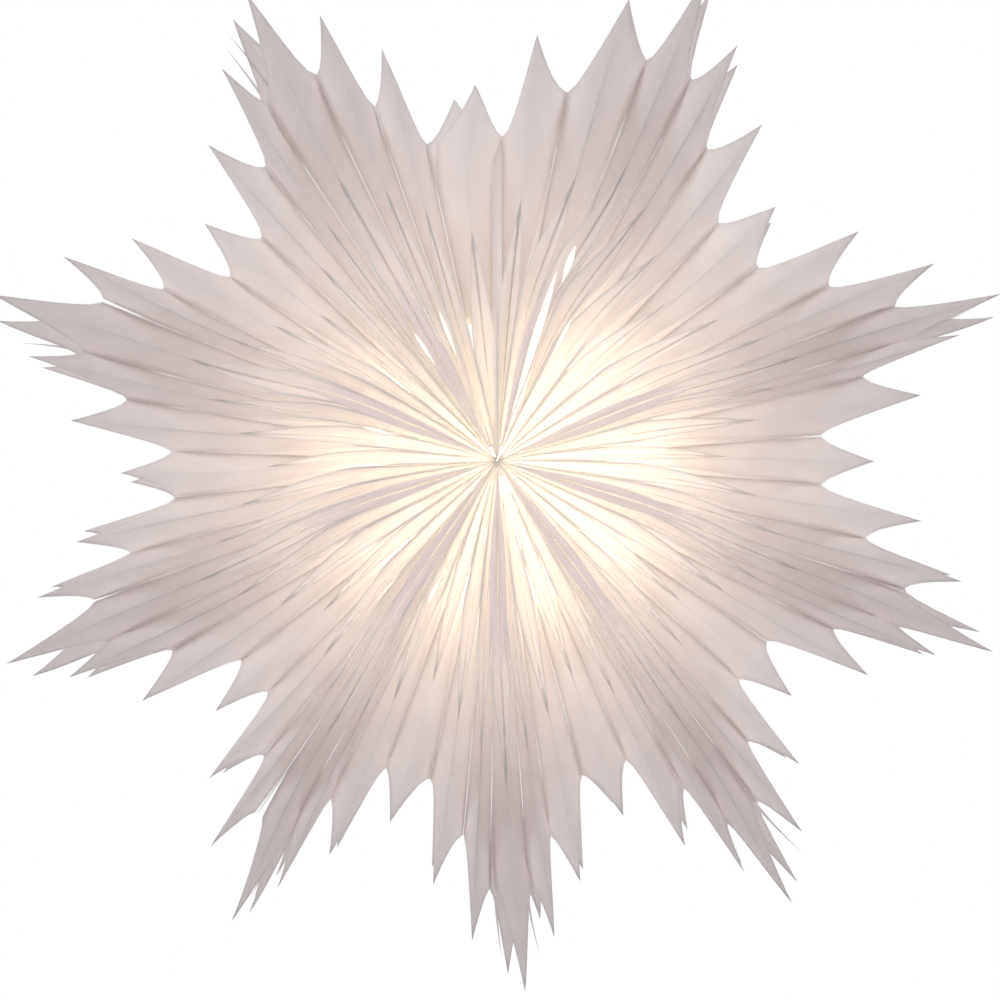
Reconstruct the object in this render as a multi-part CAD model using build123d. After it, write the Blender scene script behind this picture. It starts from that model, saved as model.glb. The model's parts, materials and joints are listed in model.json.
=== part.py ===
from build123d import *
import os
from math import cos, pi, radians, sin, sqrt

# A fan-folded paper star lamp. Fifty-four pairs of gusseted paper bags stand
# round one axis like the leaves of a fan that has been opened full circle.
# Bags of four lengths repeat in the order short, longer, longer, longest and
# back, which makes nine pointed arms. The fan closes between two pairs of
# card end boards, and a small lamp hangs in the room that the bags leave in
# the middle. Millimetres and degrees. X is to the right, Y goes away from the
# viewer, Z is up. The origin is the mouth of the cord inlet on the lampholder.

os.makedirs("parts", exist_ok=True)

# ---- the paper star ---------------------------------------------------------

PAPER = 0.12               # thickness of a sheet
HALF_DEPTH = 90.0          # mid-depth seam to the front folds, and to the back
HANG = 95.0                # cord inlet down to the star's axis
POLE_RADIUS = 4.0          # hole that the folds leave at the front and the back
CLOSING_POLE = 30.0        # the same, for the two bags beside the end boards
ROOM_RADIUS = 110.0        # of the lamp's room, at mid-depth
VALLEY_TIP = 280.0         # axis to the outer tip of the shortest bag
TIP_STEP = 38.3            # each longer bag reaches this much further
NOTCH_DEPTH = 75.0         # longer bag's outer tip back to the notch at a seam
TOOTH_BEND = 0.5           # where an outer edge bends, from its notch to its tip
TOOTH_SAG = 0.1            # how far it bends inwards, as a share of its length
VALLEY_BLADE = 76.0        # axis to the end of the front fold, shortest bag
BLADE_STEP = 28.0
VALLEY_INNER_TIP = 171.0   # axis to the tip of the gusset, shortest bag
INNER_TIP_STEP = 23.4
GUSSET_DEPTH = 42.0        # the gusset's tip lies this far behind the front folds
LEAF_RISE = 40.0           # the outer tip lies this far off mid-depth
CLOSING_ANGLE = 90.0       # where the fan closes, anticlockwise from the right

# How far each bag stands open in the hand-opened fan, one row for each arm,
# anticlockwise from the closing. RANKS gives the length of each bag in a row.
OPENINGS = (
    (12.7, 6.6, 6.2, 7.7, 5.2, 8.1),
    (8.9, 7.5, 5.1, 7.3, 5.2, 7.9),
    (8.2, 7.3, 5.0, 5.9, 5.4, 7.6),
    (7.5, 6.5, 3.9, 4.8, 3.0, 6.6),
    (8.1, 6.6, 4.2, 5.2, 3.8, 7.1),
    (8.3, 6.4, 3.1, 4.6, 4.4, 6.2),
    (8.2, 7.1, 4.3, 4.9, 5.6, 7.8),
    (8.6, 8.3, 3.6, 5.1, 6.4, 8.6),
    (10.3, 9.2, 6.9, 6.6, 9.8, 10.6),
)
RANKS = (0, 1, 2, 3, 2, 1)
BAG_NAMES = ("valley", "side", "shoulder", "tip")

# ---- the closing ------------------------------------------------------------

BOARD = 1.5                # card thickness
CLOSURE_GAP = 3.8          # between the boards, filled by hook and loop dots
BOARD_INSET = 2.0          # board's outer edge inside the paper's edge
BOARD_SETBACK = 10.0       # board's front edge behind the front folds
LEG_WIDTH = 6.8            # of the leg that reaches down to the lampholder
CORD_ROOM = 4.0            # half the channel for the cord, at mid-depth
HEADROOM = 5.0             # board above the cord inlet
SEAT_GAP = 0.2             # board to the shoulder above and the washer below
DOT_RADIUS = 10.0
DOT_HEIGHTS = (85.0, 128.0)  # of the dots above the star's axis

# ---- the lampholder ---------------------------------------------------------

INLET_RADIUS = 3.3
NECK_RADIUS = 6.5
NECK_HEIGHT = 10.0
INLET_LENGTH = 12.0
DOME_RADIUS = 13.4
DOME_SLOPE = 4.0
CAP_HEIGHT = 25.0
SPIGOT = 4.0               # the cap enters the body by this much
FIT = 0.2                  # radial room between fixed round parts
WALL = 1.6
SHOULDER_RADIUS = 19.0
SHOULDER = 2.5
BODY_RADIUS = 14.0         # over the crests of the outer thread
BODY_BORE = 10.4
BODY_LENGTH = 39.0         # shoulder's top to the open end
THREAD_DEPTH = 0.7
THREAD_PITCH = 2.0
EAR_HEIGHT = 10.9          # part of the board between the shoulder and the washer
LEDGE_TOP = 37.0           # below the inlet: seat of the contact carrier
LEDGE = 2.0
LEDGE_BORE = 8.6
CARRIER = 4.0
SHELL_BORE = 7.15
SHELL_WALL = 0.45
SHELL_LENGTH = 21.0
STRIP = 0.4                # brass strip of the middle contact
STRIP_WIDTH = 3.2
TERMINAL = (5.0, 4.0, 5.0)
TERMINAL_OFFSET = 5.2
SCREW_RADIUS = 1.2
SCREW_LENGTH = 3.5
SCREW_HEAD = (2.0, 1.4)    # radius and height
SLOT = 0.6                 # width and depth of a screwdriver slot
GRUB_RADIUS = 1.5
GRUB_HEIGHT = 5.0          # below the inlet's mouth

WASHER = 0.8
RING_RADIUS = 20.5
RING_FLANGE = 2.3
COLLAR_RADIUS = 17.0
RING_HEIGHT = 9.3
RING_FIT = 0.25            # ring bore over the thread crests
GRIPS = 18
GRIP_RADIUS = 1.0

# ---- the bulb ---------------------------------------------------------------

BULB_TOP = 40.4            # below the inlet: tip of its middle contact
BULB_LENGTH = 80.0
GLOBE_RADIUS = 22.5
GLOBE_WALL = 1.0
GLOBE_CUT = 12.9           # globe's centre up to where it meets the housing
TIP_RADIUS = 2.6
TIP_HEIGHT = 1.8
INSULATOR = (3.2, 6.0, 2.8)  # small radius, large radius, height
SCREW_CAP_RADIUS = 6.9
SCREW_CAP_LENGTH = 16.0
SCREW_CAP_PITCH = 2.82
SCREW_CAP_GROOVE = 0.5
SCREW_CAP_WALL = 0.4
RIM_RADIUS = 8.0
RIM_HEIGHT = 2.5
HOUSING_NECK = 8.5
HOUSING_WALL = 1.5
LED_BOARD = 1.4
LED_BOARD_ROOM = 0.3
LEDS = 8
LED_RING = 10.0
LED = (2.8, 2.8, 0.7)
DRIVER = (12.0, 1.2)       # width and thickness of the driver board


def save(name, *solids):
    """Writes one sub-part, with as many solids as it has."""
    shape = solids[0] if len(solids) == 1 else Compound(children=list(solids))
    export_step(shape, f"parts/{name}.step")


# ---- planes and points ------------------------------------------------------

FRONT = Vector(0, -1, 0)
STAR_CENTRE = Vector(0, 0, -HANG)


def ray(angle):
    """Unit vector from the star's axis, at an angle seen from the front."""
    return Vector(cos(radians(angle)), 0, sin(radians(angle)))


def plane_through(point, along, other, inside):
    """A plane as (normal, distance), the normal towards the point inside."""
    normal = along.cross(other - point).normalized()
    if (inside - point).dot(normal) < 0:
        normal = normal * -1
    return normal, point.dot(normal)


def meet(a, b, c):
    """The point that three planes share."""
    (na, da), (nb, db), (nc, dc) = a, b, c
    across = nb.cross(nc)
    total = across * da + nc.cross(na) * db + na.cross(nb) * dc
    return total / na.dot(across)


def inwards(plane, distance):
    normal, place = plane
    return normal, place + distance


# ---- paper bags -------------------------------------------------------------


def tip_radius(rank):
    return VALLEY_TIP + rank * TIP_STEP


def notch_radius(rank, neighbour):
    """Both bags at a seam end together, where the longer one's notch is."""
    return tip_radius(max(rank, neighbour)) - NOTCH_DEPTH


def blade_radius(rank):
    return VALLEY_BLADE + rank * BLADE_STEP


def inner_tip_radius(rank):
    return VALLEY_INNER_TIP + rank * INNER_TIP_STEP


class Side:
    """The fin, gusset and leaf on one side of a bag, each a plane."""

    def __init__(self, angle, turn, gap, inner_tip, outer_tip, notch):
        along = ray(angle)
        inside = Vector(-along.Z, 0, along.X) * turn
        seam = inside * gap
        blade = seam + FRONT * HALF_DEPTH
        self.fin = (inside, gap)
        self.gusset = plane_through(blade, along, inner_tip, seam)
        self.leaf = plane_through(seam, along, outer_tip, blade)
        corner = seam + along * notch
        edge = outer_tip - corner
        self.notch = notch
        self.bend = corner + edge * TOOTH_BEND - along * edge.length * TOOTH_SAG


def bag(angles, rank, notches, gaps=(0.0, 0.0), pole=POLE_RADIUS):
    """One front bag between two seam angles: a folded tube of thin paper.

    Each side has a flat fin in the seam, a gusset that folds in from the
    fin's front edge to the middle of the bag, and a leaf that folds in from
    the seam at mid-depth. The inner edge is cut along one slanting plane.
    """
    start, end = angles
    middle = ray((start + end) / 2)
    spread = cos(radians((end - start) / 2))
    inner_tip = middle * inner_tip_radius(rank) + FRONT * (HALF_DEPTH - GUSSET_DEPTH)
    outer_tip = middle * tip_radius(rank) + FRONT * LEAF_RISE
    first = Side(start, 1, gaps[0], inner_tip, outer_tip, notches[0])
    last = Side(end, -1, gaps[1], inner_tip, outer_tip, notches[1])

    pole_point = middle * pole + FRONT * HALF_DEPTH
    room_point = middle * ROOM_RADIUS
    across = middle.cross(FRONT)
    inner_cut = plane_through(pole_point, across, room_point, outer_tip)

    def stop(radius):
        return middle, radius

    blade_stop = stop(blade_radius(rank) * spread)
    # The folds in order round the bag, each where two panels meet, with the
    # cut that ends it and the bend in the outer edge that follows it, if any.
    folds = (
        (first.fin, first.gusset, blade_stop, None),
        (first.gusset, last.gusset, stop(inner_tip_radius(rank)), None),
        (last.gusset, last.fin, blade_stop, None),
        (last.fin, last.leaf, stop(last.notch * spread), last),
        (last.leaf, first.leaf, stop(tip_radius(rank)), first),
        (first.leaf, first.fin, stop(first.notch * spread), None),
    )

    def skin(offset):
        """For each panel round the bag: its inner edge, then its outer edge."""
        inner, outer = [], []
        for one, other, cut, bent in folds:
            pair = inwards(one, offset), inwards(other, offset)
            inner.append(meet(*pair, inner_cut))
            bend = [bent.bend + bent.leaf[0] * offset] if bent else []
            outer.append([meet(*pair, cut), *bend])
        panels = []
        for here in range(len(folds)):
            there = (here + 1) % len(folds)
            panels.append(((inner[here], inner[there]), (*outer[here], outer[there][0])))
        return panels

    polygons = []
    for (inner, outer), (inner_lining, outer_lining) in zip(skin(0.0), skin(PAPER)):
        polygons.append((inner[0], *outer, inner[1]))
        polygons.append((inner_lining[0], *outer_lining, inner_lining[1]))
        polygons.append((*inner, *reversed(inner_lining)))
        for step in range(len(outer) - 1):
            a, b = outer[step : step + 2]
            c, d = outer_lining[step : step + 2]
            polygons += [(a, b, d), (a, d, c)]
    faces = [Face(Wire.make_polygon(corners, close=True)) for corners in polygons]
    solid = Solid(Shell(faces))
    return solid.moved(Location(STAR_CENTRE))


def bag_pair(*places):
    """A front bag and the back bag that mirrors it."""
    front = bag(*places)
    return front, front.mirror(Plane.XZ)


def paper_star():
    seam = CLOSURE_GAP / 2 + BOARD
    start = CLOSING_ANGLE
    for arm, openings in enumerate(OPENINGS, 1):
        groups = {name: [] for name in BAG_NAMES}
        for slot, (opening, rank) in enumerate(zip(openings, RANKS)):
            neighbours = RANKS[slot - 1], RANKS[(slot + 1) % len(RANKS)]
            notches = [notch_radius(rank, neighbour) for neighbour in neighbours]
            at_first = arm == 1 and slot == 0
            at_last = arm == len(OPENINGS) and slot == len(RANKS) - 1
            gaps = seam * at_first, seam * at_last
            pole = CLOSING_POLE if at_first or at_last else POLE_RADIUS
            groups[BAG_NAMES[rank]] += bag_pair(
                (start, start + opening), rank, notches, gaps, pole
            )
            start += opening
        for name, solids in groups.items():
            save(f"arm_{arm}_{name}_bags", *solids)


# ---- end boards and closure dots --------------------------------------------

SHOULDER_BOTTOM = CAP_HEIGHT + SHOULDER
EAR_TOP = SHOULDER_BOTTOM + SEAT_GAP
EAR_BOTTOM = EAR_TOP + EAR_HEIGHT
WASHER_TOP = EAR_BOTTOM + SEAT_GAP
SHOULDER_ROOM = SHOULDER_RADIUS + 6 * SEAT_GAP
BOARD_TOP = notch_radius(RANKS[0], RANKS[-1]) - BOARD_INSET


def fin_slope(rank):
    """How much nearer to the front a closing fin's outer edge is, for each mm down."""
    return HALF_DEPTH / (BOARD_TOP + BOARD_INSET - blade_radius(rank))


def board_edge(rank, height):
    """Depth of a board's outer edge at a height above the star's axis."""
    return (BOARD_TOP - height) * fin_slope(rank)


def board_edge_height(rank, depth):
    return BOARD_TOP - depth / fin_slope(rank)


def room_edge(height):
    """Depth of the bags' slanting inner edge beside the boards."""
    return max(CORD_ROOM, HALF_DEPTH * (ROOM_RADIUS - height) / (ROOM_RADIUS - CLOSING_POLE))


def room_edge_height(depth):
    return ROOM_RADIUS - (ROOM_RADIUS - CLOSING_POLE) * depth / HALF_DEPTH


def end_board(side, rank):
    """The front half board on one side of the closing: side -1 is the left."""
    leg_outside = SHOULDER_ROOM + LEG_WIDTH
    front = HALF_DEPTH - BOARD_SETBACK
    ear_edge = BODY_RADIUS + 2 * SEAT_GAP
    outline = (
        (board_edge_height(rank, CORD_ROOM), CORD_ROOM),
        (board_edge_height(rank, front), front),
        (room_edge_height(front), front),
        (room_edge_height(leg_outside), leg_outside),
        (HANG - EAR_BOTTOM, leg_outside),
        (HANG - EAR_BOTTOM, ear_edge),
        (HANG - EAR_TOP, ear_edge),
        (HANG - EAR_TOP, SHOULDER_ROOM),
        (HANG + HEADROOM, SHOULDER_ROOM),
        (HANG + HEADROOM, CORD_ROOM),
    )
    inner_face = side * CLOSURE_GAP / 2
    corners = [Vector(inner_face, -depth, height - HANG) for height, depth in outline]
    card = Face(Wire.make_polygon(corners, close=True))
    return Solid.extrude(card, Vector(side * BOARD, 0, 0))


def closure_dots(side):
    """Round pads on the boards' inner faces, two in front and two behind."""
    pads = []
    for height in DOT_HEIGHTS:
        depth = (board_edge(RANKS[0], height) + room_edge(height)) / 2
        for face in (-1, 1):
            place = Plane(origin=(0, face * depth, height - HANG), z_dir=(side, 0, 0))
            pads.append(Solid.make_cylinder(DOT_RADIUS, CLOSURE_GAP / 2, place))
    return pads


def closing():
    for side, name, rank in ((-1, "left", RANKS[0]), (1, "right", RANKS[-1])):
        board = end_board(side, rank)
        save(f"end_boards_{name}", board, board.mirror(Plane.XZ))
    save("hook_dots", *closure_dots(-1))
    save("loop_dots", *closure_dots(1))


# ---- lampholder -------------------------------------------------------------


def turned(*profile):
    """A solid turned about the lamp's axis from (radius, depth below) points."""
    corners = [Vector(radius, 0, -below) for radius, below in profile]
    return Solid.revolve(Face(Wire.make_polygon(corners, close=True)), 360, Axis.Z)


def block(size, centre):
    """A box whose centre is given."""
    corner = Vector(*centre) - Vector(*size) * 0.5
    return Solid.make_box(*size, Plane(corner))


def lampholder():
    ledge_bottom = LEDGE_TOP + LEDGE
    body_bottom = CAP_HEIGHT + BODY_LENGTH
    spigot_radius = BODY_BORE - FIT
    spigot_bore = spigot_radius - WALL
    spigot_bottom = CAP_HEIGHT + SPIGOT

    cap = turned(
        (INLET_RADIUS, 0),
        (NECK_RADIUS, 0),
        (NECK_RADIUS, NECK_HEIGHT),
        (DOME_RADIUS, NECK_HEIGHT + DOME_SLOPE),
        (DOME_RADIUS, CAP_HEIGHT),
        (spigot_radius, CAP_HEIGHT),
        (spigot_radius, spigot_bottom),
        (spigot_bore, spigot_bottom),
        (spigot_bore, INLET_LENGTH + DOME_SLOPE),
        (INLET_RADIUS, INLET_LENGTH),
    )
    bore = Plane(origin=(0, 0, -GRUB_HEIGHT), z_dir=(1, 0, 0))
    cap = cap.cut(Solid.make_cylinder(GRUB_RADIUS + FIT / 4, DOME_RADIUS, bore))
    save("holder_cap", cap)

    grub_end = INLET_RADIUS + FIT
    grub_length = NECK_RADIUS + SLOT - grub_end
    start = Plane(origin=(grub_end, 0, -GRUB_HEIGHT), z_dir=(1, 0, 0))
    grub = Solid.make_cylinder(GRUB_RADIUS, grub_length, start)
    groove = block(
        (SLOT, 3 * GRUB_RADIUS, SLOT),
        (grub_end + grub_length - SLOT / 2, 0, -GRUB_HEIGHT),
    )
    save("cord_grip_screw", grub.cut(groove))

    threads = []
    depth = WASHER_TOP
    while depth + THREAD_PITCH < body_bottom:
        threads += [(BODY_RADIUS, depth), (BODY_RADIUS - THREAD_DEPTH, depth + THREAD_PITCH / 2)]
        depth += THREAD_PITCH
    body = turned(
        (BODY_BORE, CAP_HEIGHT),
        (SHOULDER_RADIUS, CAP_HEIGHT),
        (SHOULDER_RADIUS, SHOULDER_BOTTOM),
        (BODY_RADIUS, SHOULDER_BOTTOM),
        *threads,
        (BODY_RADIUS, depth),
        (BODY_RADIUS, body_bottom),
        (BODY_BORE, body_bottom),
        (BODY_BORE, ledge_bottom),
        (LEDGE_BORE, ledge_bottom),
        (LEDGE_BORE, LEDGE_TOP),
        (BODY_BORE, LEDGE_TOP),
    )
    save("holder_body", body)

    rivet = STRIP_WIDTH / 2
    carrier = turned(
        (rivet + FIT / 2, LEDGE_TOP - CARRIER),
        (BODY_BORE - FIT, LEDGE_TOP - CARRIER),
        (BODY_BORE - FIT, LEDGE_TOP),
        (rivet + FIT / 2, LEDGE_TOP),
    )
    save("contact_carrier", carrier)

    shell_outside = SHELL_BORE + SHELL_WALL
    shell = turned(
        (SHELL_BORE, LEDGE_TOP),
        (LEDGE_BORE - FIT, LEDGE_TOP),
        (LEDGE_BORE - FIT, LEDGE_TOP + SHELL_WALL),
        (shell_outside, LEDGE_TOP + SHELL_WALL),
        (shell_outside, LEDGE_TOP + SHELL_LENGTH),
        (SHELL_BORE, LEDGE_TOP + SHELL_LENGTH),
    )
    save("screw_shell", shell)

    # The strip is riveted under the carrier and springs back to the bulb's tip.
    reach = BULB_TOP - SEAT_GAP
    half = INSULATOR[0]
    edge = (
        (-half, LEDGE_TOP),
        (half, LEDGE_TOP),
        (half, LEDGE_TOP + 2 * STRIP),
        (-half / 2, reach),
        (-half, reach),
        (-half, reach - STRIP),
        (-half / 2, reach - STRIP),
        (half - 2 * STRIP, LEDGE_TOP + STRIP),
        (-half, LEDGE_TOP + STRIP),
    )
    corners = [Vector(x, -STRIP_WIDTH / 2, -below) for x, below in edge]
    strip = Face(Wire.make_polygon(corners, close=True))
    strip = Solid.extrude(strip, Vector(0, STRIP_WIDTH, 0))
    stem = Solid.make_cylinder(rivet, CARRIER + STRIP, Plane(origin=(0, 0, -LEDGE_TOP)))
    save("centre_contact", strip.fuse(stem))

    blocks, screws = [], []
    carrier_top = LEDGE_TOP - CARRIER
    block_top = carrier_top - TERMINAL[2]
    for side in (-1, 1):
        x = side * TERMINAL_OFFSET
        hole = Plane(origin=(x, 0, -block_top - SCREW_LENGTH))
        clamp = block(TERMINAL, (x, 0, -block_top - TERMINAL[2] / 2))
        clamp = clamp.cut(Solid.make_cylinder(SCREW_RADIUS + FIT / 4, TERMINAL[2], hole))
        blocks.append(clamp)
        radius, height = SCREW_HEAD
        head = Plane(origin=(x, 0, -block_top))
        screw = Solid.make_cylinder(SCREW_RADIUS, SCREW_LENGTH, hole)
        screw = screw.fuse(Solid.make_cylinder(radius, height, head))
        slot = block((SLOT, 3 * radius, SLOT), (x, 0, -block_top + height - SLOT / 2))
        screws.append(screw.cut(slot))
    save("terminal_clamps", *blocks)
    save("terminal_screws", *screws)


def ring():
    """The threaded ring under the boards' ears, and the washer on top of it."""
    bore = BODY_RADIUS + RING_FIT
    washer_bottom = WASHER_TOP + WASHER
    washer = turned(
        (bore, WASHER_TOP),
        (RING_RADIUS, WASHER_TOP),
        (RING_RADIUS, washer_bottom),
        (bore, washer_bottom),
    )
    save("ring_washer", washer)
    ring_bottom = washer_bottom + RING_HEIGHT
    nut = turned(
        (bore, washer_bottom),
        (RING_RADIUS, washer_bottom),
        (RING_RADIUS, washer_bottom + RING_FLANGE),
        (COLLAR_RADIUS, washer_bottom + RING_FLANGE),
        (COLLAR_RADIUS, ring_bottom),
        (bore, ring_bottom),
    )
    for turn in range(GRIPS):
        angle = 2 * pi * turn / GRIPS
        foot = (COLLAR_RADIUS * cos(angle), COLLAR_RADIUS * sin(angle), -ring_bottom)
        height = RING_HEIGHT - RING_FLANGE
        nut = nut.cut(Solid.make_cylinder(GRIP_RADIUS, height, Plane(origin=foot)))
    save("shade_ring", nut)


# ---- bulb -------------------------------------------------------------------


def bulb():
    tip_bottom = BULB_TOP + TIP_HEIGHT
    chamfer = TIP_HEIGHT / 2
    tip = turned(
        (0, BULB_TOP),
        (TIP_RADIUS - chamfer, BULB_TOP),
        (TIP_RADIUS, BULB_TOP + chamfer),
        (TIP_RADIUS, tip_bottom),
        (0, tip_bottom),
    )
    save("bulb_tip_contact", tip)

    small, large, height = INSULATOR
    cap_top = tip_bottom + height
    cone = turned((0, tip_bottom), (small, tip_bottom), (large, cap_top), (0, cap_top))
    save("bulb_insulator", cone)

    crest, root = SCREW_CAP_RADIUS, SCREW_CAP_RADIUS - SCREW_CAP_GROOVE
    cap_bottom = cap_top + SCREW_CAP_LENGTH
    rim_bottom = cap_bottom + RIM_HEIGHT
    ridges = []
    depth = cap_top + SCREW_CAP_PITCH / 2
    while depth + SCREW_CAP_PITCH < cap_bottom:
        ridges += [(root, depth), (crest, depth + SCREW_CAP_PITCH / 2)]
        depth += SCREW_CAP_PITCH
    inside = root - SCREW_CAP_WALL
    screw_cap = turned(
        (0, cap_top),
        (large, cap_top),
        *ridges,
        (root, cap_bottom),
        (RIM_RADIUS, cap_bottom),
        (RIM_RADIUS, rim_bottom),
        (inside, rim_bottom),
        (inside, cap_top + SCREW_CAP_WALL),
        (0, cap_top + SCREW_CAP_WALL),
    )
    save("bulb_screw_cap", screw_cap)

    centre = BULB_TOP + BULB_LENGTH - GLOBE_RADIUS
    joint = centre - GLOBE_CUT
    joint_radius = sqrt(GLOBE_RADIUS**2 - GLOBE_CUT**2)
    spigot = inside - FIT
    housing = turned(
        (spigot, cap_bottom),
        (spigot, rim_bottom),
        (HOUSING_NECK, rim_bottom),
        (joint_radius, joint),
        (joint_radius - HOUSING_WALL, joint),
        (spigot - HOUSING_WALL, rim_bottom + HOUSING_WALL),
        (spigot - HOUSING_WALL, cap_bottom),
    )
    save("bulb_housing", housing)

    middle = Plane(origin=(0, 0, -centre))
    globe = Solid.make_sphere(GLOBE_RADIUS, middle).cut(
        Solid.make_sphere(GLOBE_RADIUS - GLOBE_WALL, middle),
        Solid.make_box(
            4 * GLOBE_RADIUS,
            4 * GLOBE_RADIUS,
            GLOBE_RADIUS,
            Plane(origin=(-2 * GLOBE_RADIUS, -2 * GLOBE_RADIUS, -joint)),
        ),
    )
    save("bulb_globe", globe)

    # The light board lies in the mouth of the housing, the driver stands on it.
    throat_top = rim_bottom + HOUSING_WALL
    slope = (joint_radius - spigot) / (joint - throat_top)
    board_radius = joint_radius - HOUSING_WALL - slope * LED_BOARD - LED_BOARD_ROOM
    board_top = joint - LED_BOARD
    light_board = Solid.make_cylinder(board_radius, LED_BOARD, Plane(origin=(0, 0, -joint)))
    save("light_board", light_board)
    chips = []
    for turn in range(LEDS):
        angle = 2 * pi * turn / LEDS
        place = (LED_RING * cos(angle), LED_RING * sin(angle), -joint - LED[2] / 2)
        chips.append(block(LED, place))
    save("light_chips", *chips)
    width, thick = DRIVER
    throat = spigot - HOUSING_WALL
    driver_top = throat_top + (width / 2 + LED_BOARD_ROOM - throat) / slope
    height = board_top - driver_top
    driver = block((width, thick, height), (0, 0, -board_top + height / 2))
    save("driver_board", driver)


paper_star()
closing()
lampholder()
ring()
bulb()
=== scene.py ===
# %% [markdown]
# # A paper star lamp
# The lamp is a fan of gusseted paper bags, opened full circle until it makes a
# star with nine arms. A small bulb hangs in the middle and lights it from
# inside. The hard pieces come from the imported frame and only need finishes.
# The paper is modelled again here, because real paper is never flat.

# %% Load the frame
import json
from math import cos, degrees, pi, radians, sin
from random import Random

import bmesh
import bpy
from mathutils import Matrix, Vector


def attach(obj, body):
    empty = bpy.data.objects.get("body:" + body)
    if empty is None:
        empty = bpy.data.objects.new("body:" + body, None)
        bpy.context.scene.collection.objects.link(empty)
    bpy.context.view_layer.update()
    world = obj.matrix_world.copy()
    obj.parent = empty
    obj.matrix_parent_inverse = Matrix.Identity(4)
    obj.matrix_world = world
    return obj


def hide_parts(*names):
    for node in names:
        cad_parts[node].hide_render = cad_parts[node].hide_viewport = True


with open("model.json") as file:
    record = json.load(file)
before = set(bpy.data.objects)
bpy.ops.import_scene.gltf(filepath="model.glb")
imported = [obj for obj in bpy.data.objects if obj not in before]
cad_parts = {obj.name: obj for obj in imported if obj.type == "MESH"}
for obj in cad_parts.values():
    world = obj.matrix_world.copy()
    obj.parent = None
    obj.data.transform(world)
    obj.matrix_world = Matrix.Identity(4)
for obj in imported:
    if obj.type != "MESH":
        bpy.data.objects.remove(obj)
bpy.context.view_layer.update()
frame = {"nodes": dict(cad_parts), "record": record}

print("pieces in the frame:", len(frame["nodes"]))

# %% [markdown]
# ## How the fan is laid out
# Bags of four lengths repeat in the order short, longer, longer, longest and
# back. A bag's rank counts from the shortest, 0, to the longest, 3. A hand
# never opens a fan evenly, so each bag has its own angle. The angles run
# anticlockwise from the top, where the fan closes. All lengths are in metres.

# %% The sizes of the fan
MM = 0.001
CENTRE = Vector((0, 0, -95 * MM))
HALF_DEPTH = 90 * MM
ROOM = 110 * MM
POLE = 0.2 * MM
PAPER = 0.12 * MM
PLAY = 0.25 * MM
CLOSING_ANGLE = 90.0
VALLEY_TIP, TIP_STEP = 280 * MM, 38.3 * MM
VALLEY_FOLD, FOLD_STEP = 76 * MM, 28 * MM
VALLEY_INNER_TIP, INNER_TIP_STEP = 171 * MM, 23.4 * MM
NOTCH_DEPTH = 75 * MM
RANKS = (0, 1, 2, 3, 2, 1)
LONGEST = max(RANKS)
TIP_SLOT = RANKS.index(LONGEST)
OPENINGS = (
    (12.7, 6.6, 6.2, 7.7, 5.2, 8.1),
    (8.9, 7.5, 5.1, 7.3, 5.2, 7.9),
    (8.2, 7.3, 5.0, 5.9, 5.4, 7.6),
    (7.5, 6.5, 3.9, 4.8, 3.0, 6.6),
    (8.1, 6.6, 4.2, 5.2, 3.8, 7.1),
    (8.3, 6.4, 3.1, 4.6, 4.4, 6.2),
    (8.2, 7.1, 4.3, 4.9, 5.6, 7.8),
    (8.6, 8.3, 3.6, 5.1, 6.4, 8.6),
    (10.3, 9.2, 6.9, 6.6, 9.8, 10.6),
)


def outer_tip(rank):
    return VALLEY_TIP + TIP_STEP * rank


def notch(rank, neighbour):
    """Where two neighbours' outer edges meet at their seam."""
    return outer_tip(max(rank, neighbour)) - NOTCH_DEPTH


def front_fold_end(rank):
    return VALLEY_FOLD + FOLD_STEP * rank


def inner_tip(rank):
    return VALLEY_INNER_TIP + INNER_TIP_STEP * rank


print("reach of each rank in mm:", [round(outer_tip(rank) / MM) for rank in range(LONGEST + 1)])

# %% [markdown]
# ## Bags and seams
# A seam is the glued line between two bags. Its front fold wanders a little to
# one side, and at a few seams the glue has let go, so that light comes out
# between the two folds. The longest bag of each arm is pinched at the front:
# both of its seams wander towards its middle. Two card end boards lie in the
# closing seam, so its sheets stay that much further apart.

# %% List the bags and the seams between them
PINCH = 1.6 * MM
WANDER = 1.3 * MM
WANDER_CURVE = 0.8
USUAL_OPENING = 6
PARTED = {
    (1, 3): 1.0 * MM, (1, 4): 1.2 * MM, (2, 4): 0.9 * MM, (8, 3): 0.8 * MM, (9, 3): 2.8 * MM,
}
BOARD_ROOM = 3.55 * MM


class Seam:
    def __init__(self, angle, drift, parted):
        self.angle, self.drift, self.parted = angle, drift, parted
        self.closing = angle == CLOSING_ANGLE

    def wander(self, turn, radius, reach):
        """Sideways shift of a front fold, most half way along it."""
        share = sin(pi * min(radius / reach, 1)) ** WANDER_CURVE
        return (self.drift + turn * self.parted) * share


class Bag:
    def __init__(self, arm, slot, first, last):
        self.arm, self.slot, self.rank = arm, slot, RANKS[slot]
        self.first, self.last = first, last
        self.width = (last.angle - first.angle) % 360
        self.middle = first.angle + self.width / 2
        self.notches = [notch(self.rank, RANKS[(slot + step) % len(RANKS)]) for step in (-1, 1)]


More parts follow.
